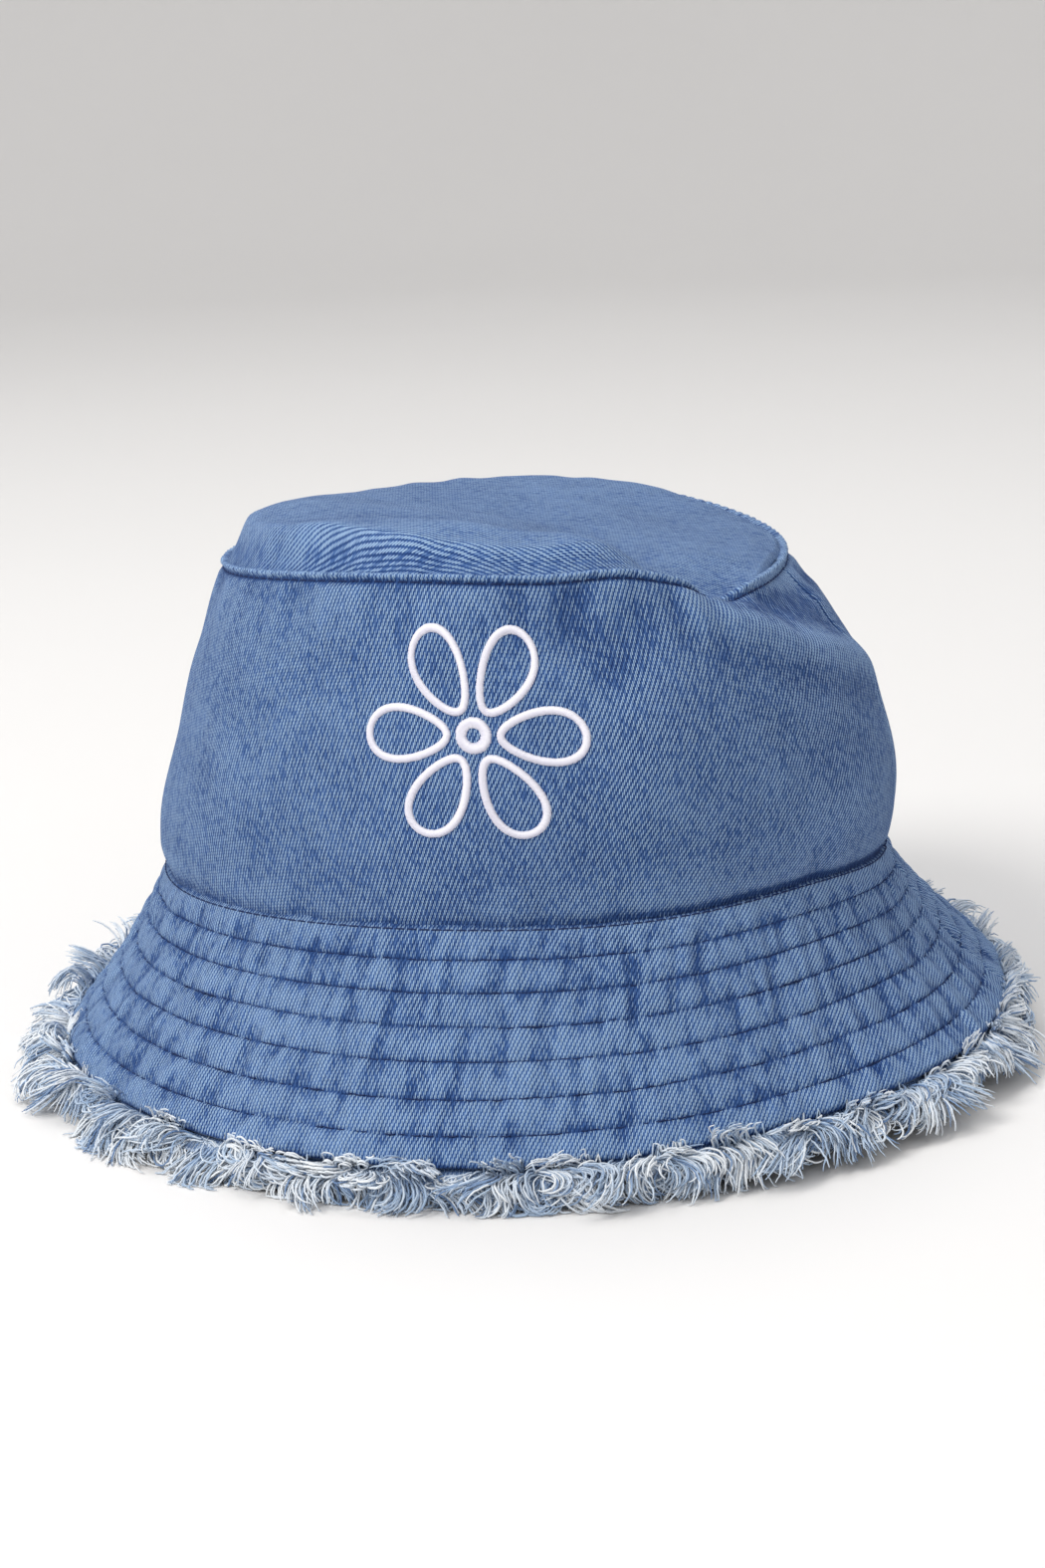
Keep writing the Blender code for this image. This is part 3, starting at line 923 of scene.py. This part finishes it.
def add_stitching():
    for row, share in enumerate(ROW_REACHES, start=1):
        above = stitches(brim_face, -1.0, share, unsewn, 70 + row)
        below = stitches(brim_under, 1.0, share, unsewn, 80 + row)
        add_thread(f"brim_stitching_{row}", np.concatenate([above, below]))
    seam = stitches(brim_face, -1.0, SEAM_ROW, lambda angle, share: share, 91)
    add_thread("brim_seam_stitching", seam)
    top = stitches(crown_face, 1.0, TIP_ROW, level_row, 92, TIP_STITCHES)
    add_thread("tip_stitching", top, THREAD_RADIUS * 1.15)


# Embroidery: a generic flower in satin stitch


def wall_point(across, up, lift):
    """A point of the front wall, across and up in metres from the flower's middle."""
    angle = FLOWER_ANGLE + across / BASE_Y
    level = FLOWER_LEVEL + up / WALL
    return crown_face(angle, level) + lift[..., None] * normals(crown_form, angle, level)


def satin_band(line, width, slant, seed):
    """Strands laid side by side across a closed line on the wall, given as an array of x and y."""
    closed = np.vstack([line, line[:1]])
    steps = np.linalg.norm(np.diff(closed, axis=0), axis=-1)
    run = np.concatenate([[0.0], np.cumsum(steps)])
    count = round(run[-1] / SATIN_PITCH * DETAIL)
    chance = np.random.default_rng(seed)
    spot = (np.arange(count) + chance.uniform(-0.08, 0.08, count)) / count * run[-1]
    share = np.linspace(-1.0, 1.0, 8)
    reach = share[None, :] * width / 2 * chance.uniform(0.93, 1.07, (count, 1))
    place = (spot[:, None] + slant * reach) % run[-1]
    here = np.stack([np.interp(place, run, closed[:, k]) for k in (0, 1)], axis=-1)
    after = np.stack([np.interp((place + 0.0003) % run[-1], run, closed[:, k]) for k in (0, 1)], axis=-1)
    ahead = unit(after - here)
    across = here[..., 0] - ahead[..., 1] * reach
    up = here[..., 1] + ahead[..., 0] * reach
    lift = SATIN_RISE * np.sqrt(np.clip(1 - share**2, 0, 1)) - 0.00015
    lift = lift[None, :] * chance.uniform(0.95, 1.05, (count, 1))
    return wall_point(across, up, lift)


def petal_line(turn):
    """A pointed oval outline that leans out from the flower's middle."""
    sweep = np.linspace(0, TURN, 160, endpoint=False)
    out = mix(PETAL_START, PETAL_END, 0.5) + (PETAL_END - PETAL_START) / 2 * np.cos(sweep)
    side = PETAL_HALF * np.sin(sweep) * (1.0 + 0.28 * np.cos(sweep))
    x = out * math.cos(turn) - side * math.sin(turn)
    y = out * math.sin(turn) + side * math.cos(turn)
    return np.stack([x, y], axis=-1)


def add_embroidery():
    bands = []
    for petal in range(PETALS):
        line = petal_line(TURN * (petal + 0.5) / PETALS + TURN / 4)
        bands.append(satin_band(line, SATIN_WIDTH, 0.35, 100 + petal))
    petals = tubes("embroidery_petals_satin", np.concatenate(bands), SATIN_RADIUS, SATIN)
    finished(petals, "white_satin", "embroidery_petals")
    sweep = np.linspace(0, TURN, 90, endpoint=False)
    circle = CENTRE_RADIUS * np.stack([np.cos(sweep), np.sin(sweep)], axis=-1)
    band = satin_band(circle, CENTRE_WIDTH, 0.2, 110)
    centre = tubes("embroidery_centre_satin", band, SATIN_RADIUS, SATIN)
    finished(centre, "white_satin", "embroidery_centre")


# The frayed edge: loose yarns in curly tufts

# For each layer of tufts: their number, yarns in each, reach of their roots, the yarns' length,
# the tuft's slope above level ground, and how that changes along it, in degrees.
TUFTS = (
    (150, 26, (1.020, 1.065), (0.0090, 0.0125), (-75, -45), (-10, 10)),
    (108, 40, (1.010, 1.050), (0.0120, 0.0175), (-45, -5), (-50, 0)),
    (62, 26, (1.010, 1.045), (0.0100, 0.0140), (10, 55), (-90, -20)),
    (42, 26, (1.018, 1.036), (0.0075, 0.0110), (48, 80), (-45, 0)),
)
YARN_POINTS = 16
SECTORS = 8

# How widely a lock's roots spread along the edge and in reach, and their least reach; a yarn's
# crimp, its length and swing; the shares of yarns that go astray and that are blue.
LOCK_SPREAD, ROOT_SPREAD, LEAST_ROOT = 0.0027, 0.008, 1.014
CRIMP_LENGTH, CRIMP_SWING = 0.0026, 0.12
ASTRAY, BLUE = 0.06, 0.12


def brim_reach(points):
    """The angle and reach below or above which points lie."""
    angle = np.arctan2(points[..., 1] / (BASE_Y + BRIM_RUN), points[..., 0] / (BASE_X + BRIM_RUN))
    wide = np.abs(np.cos(angle)) > 0.7
    with np.errstate(divide="ignore", invalid="ignore"):
        by_x = points[..., 0] / np.cos(angle) - BASE_X
        by_y = points[..., 1] / np.sin(angle) - BASE_Y
    out = np.where(wide, by_x, by_y) / BRIM_RUN
    start, bow = brim_bow(angle)
    under = np.clip(start**2 + 4 * bow * out, 0.0, None)
    return angle, (np.sqrt(under) - start) / (2 * bow)


def off_brim(points):
    """Lifts points that are in the brim's cloth, and in the ground, to lie on it."""
    angle, reach = brim_reach(points)
    top = brim_form(angle, np.clip(reach, 0.5, 1.0))[..., 2]
    inside = (reach < 1.0) & (points[..., 2] > top - 0.0010)
    points[..., 2] = np.where(inside, np.maximum(points[..., 2], top + 0.0016), points[..., 2])
    points[..., 2] = np.maximum(points[..., 2], YARN_RADIUS + 0.0002)
    return points


def tuft_layer(chance, tufts, yarns, roots, lengths, slopes, droops):
    """Paths, tones and root angles of one layer of tufts: locks of yarns that curl side by side."""
    middle = (np.arange(tufts) + chance.uniform(-0.35, 0.35, tufts)) * TURN / tufts
    lock, shape = (tufts, 1), (tufts, yarns)
    spread = chance.normal(0.0, LOCK_SPREAD, shape)
    angle = middle[:, None] + spread / HEM_RADIUS
    root = chance.uniform(*roots, lock) + chance.normal(0.0, ROOT_SPREAD, shape)
    root = np.maximum(root, LEAST_ROOT)
    start = brim_form(angle, root) + 0.0013 * normals(brim_form, angle, root)
    start = start + chance.normal(0.0, 0.00035, start.shape)
    length = chance.uniform(*lengths, lock) * chance.uniform(0.72, 1.12, shape)
    turned = front_turn(angle)
    left = bell(turned, -92.0, 42.0)
    length = length * (1.0 + 0.45 * left - 0.16 * bell(turned, 78.0, 45.0))
    slope = np.radians(chance.uniform(*slopes, lock) + chance.normal(0, 4, shape))
    droop = np.radians(chance.uniform(*droops, lock))
    lean = np.radians(chance.uniform(-30, 30, lock))
    swing = np.radians(chance.uniform(20, 65, lock)) * chance.choice([-1.0, 1.0], lock)
    begin = chance.uniform(0.0, 0.5, lock)
    curl = np.radians(chance.normal(0, 115, lock) + chance.normal(0, 14, shape))
    arch = np.radians(chance.uniform(5, 30, lock) + chance.normal(0, 5, shape))
    fan = -spread / 0.006 * chance.uniform(-0.1, 0.45, lock)
    wild = chance.uniform(0.0, 1.0, shape) > 1.0 - ASTRAY
    jitter = chance.normal(0.0, 0.13, shape) + np.where(wild, chance.normal(0.0, 0.55, shape), 0.0)
    phase = chance.uniform(0, TURN, lock) + chance.normal(0.0, 0.6, shape)
    tone = chance.uniform(0.48, 1.0, lock) + chance.normal(0.0, 0.17, shape) + 0.15 * left
    tone = np.where(chance.uniform(0, 1, shape) < BLUE, chance.uniform(0.0, 0.3, shape), tone)
    out = stacked(np.cos(angle), np.sin(angle), 0.0)
    along = stacked(-np.sin(angle), np.cos(angle), 0.0)
    up = np.array([0.0, 0.0, 1.0])
    points = [start]
    for step in range(1, YARN_POINTS):
        share = step / (YARN_POINTS - 1)
        crimp = phase + share * length / CRIMP_LENGTH * TURN
        tilt = (slope + droop * share)[..., None]
        turn = lean + swing * np.sin(TURN * (0.6 * share + begin))
        turn = turn + curl * max(share - 0.3, 0.0) / 0.7 + fan * (1 - 2.0 * share)
        turn = (turn + jitter + CRIMP_SWING * np.sin(crimp))[..., None]
        bulge = (arch * (1 - 2.0 * share) + CRIMP_SWING * np.cos(crimp))[..., None]
        away = np.cos(tilt) * out + np.sin(tilt) * up
        across = np.cos(tilt) * up - np.sin(tilt) * out
        ahead = np.cos(bulge) * (np.cos(turn) * away + np.sin(turn) * along) + np.sin(bulge) * across
        points.append(points[-1] + ahead * (length / (YARN_POINTS - 1))[..., None])
    paths = off_brim(np.stack(points, axis=2)).reshape(tufts * yarns, YARN_POINTS, 3)
    return paths, np.clip(tone, 0.0, 1.0).ravel(), angle.ravel()


def add_fringe():
    chance = np.random.default_rng(17)
    layers = [tuft_layer(chance, *layer) for layer in TUFTS]
    paths, tones, angles = (np.concatenate(part) for part in zip(*layers))
    share = np.linspace(0.0, 1.0, YARN_POINTS)
    tone = tones[:, None] * mix(0.62, 1.0, smooth(share, 0.0, 0.5))[None, :]
    radii = YARN_RADIUS * mix(1.0, 0.55, smooth(share, 0.75, 1.0))[None, :]
    radii = radii * chance.uniform(0.8, 1.3, (len(paths), 1))
    sector = np.floor(angles % TURN / TURN * SECTORS).astype(int)
    for number in range(SECTORS):
        chosen = sector == number
        piece = tubes(f"frayed_yarns_{number + 1}", paths[chosen], radii[chosen], YARNS,
                      values=[("tone", tone[chosen])], sides=4)
        finished(piece, "frayed_cotton", "frayed_yarns")


# Studio

FLOOR_RADIUS, COVE, WALL_TOP = 2.2, 1.4, 3.5


def add_floor():
    """A pale floor that curves up into a pale wall all round, out of sight of its own edge."""
    turns = np.linspace(0, TURN, 97)
    bend = np.linspace(0, TURN / 4, 13)
    outer = FLOOR_RADIUS + COVE
    radius = np.concatenate([[0.0, 0.5, 1.2], FLOOR_RADIUS + COVE * np.sin(bend), [outer]])
    height = np.concatenate([[0.0] * 3, COVE * (1 - np.cos(bend)), [WALL_TOP]])
    points = stacked(radius[:, None] * np.cos(turns), radius[:, None] * np.sin(turns), height[:, None])
    faces = grid_faces(len(radius), len(turns), flip=True)
    new_object("studio_floor", points.reshape(-1, 3), faces, floor_paint())


def add_light(name, place, target, size, energy, color):
    data = bpy.data.lights.new(name, "AREA")
    data.shape = "DISK"
    data.size = size
    data.energy = energy
    data.color = color
    lamp = placed(name, data)
    lamp.location = place
    lamp.rotation_euler = (Vector(target) - Vector(place)).to_track_quat("-Z", "Y").to_euler()


def add_studio():
    middle = (0.0, 0.0, 0.06)
    add_light("key_light", (-1.0, -1.0, 1.45), middle, 0.7, 26.0, (1.0, 0.985, 0.96))
    add_light("fill_light", (1.4, -1.0, 0.9), middle, 1.2, 3.0, (0.95, 0.97, 1.0))
    add_light("top_light", (-0.2, 0.6, 1.7), middle, 1.0, 8.0, (0.98, 0.99, 1.0))
    world = bpy.data.worlds.new("studio_world")
    world.use_nodes = True
    shade = world.node_tree.nodes["Background"]
    shade.inputs["Color"].default_value = (0.80, 0.80, 0.81, 1.0)
    shade.inputs["Strength"].default_value = 1.0
    bpy.context.scene.world = world
    bpy.context.scene.view_settings.view_transform = "Standard"


# Camera: how far from the hat's axis and how high, in metres, its focal length in frame
# heights, and its turn round the hat, downward pitch and roll.
CAMERA_DISTANCE, CAMERA_HEIGHT, CAMERA_FOCAL = 0.758, 0.272, 1.854
CAMERA_TURN, CAMERA_PITCH, CAMERA_ROLL = math.radians(8.5), math.radians(15.0), math.radians(-2.1)
SENSOR = 36.0


def add_camera():
    ahead = Vector((-math.sin(CAMERA_TURN) * math.cos(CAMERA_PITCH),
                    math.cos(CAMERA_TURN) * math.cos(CAMERA_PITCH), -math.sin(CAMERA_PITCH)))
    right = Vector((math.cos(CAMERA_TURN), math.sin(CAMERA_TURN), 0.0))
    up = right.cross(ahead)
    turned_right = right * math.cos(CAMERA_ROLL) + up * math.sin(CAMERA_ROLL)
    turned_up = up * math.cos(CAMERA_ROLL) - right * math.sin(CAMERA_ROLL)
    data = bpy.data.cameras.new("photo_camera")
    data.sensor_width = SENSOR
    data.lens = CAMERA_FOCAL * SENSOR
    data.clip_start = 0.01
    camera = placed("photo_camera", data)
    place = Vector((math.sin(CAMERA_TURN), -math.cos(CAMERA_TURN), 0.0)) * CAMERA_DISTANCE
    place.z = CAMERA_HEIGHT
    axes = Matrix((turned_right, turned_up, -ahead)).transposed().to_4x4()
    camera.matrix_world = Matrix.Translation(place) @ axes
    bpy.context.scene.camera = camera


def main():
    add_camera()
    for side, middle in HALVES:
        add_side_panel(side, middle)
        add_brim_half(side, middle)
    add_tip()
    add_interlining()
    add_strip()
    add_lining()
    add_stitching()
    add_embroidery()
    add_fringe()
    add_floor()
    add_studio()


main()
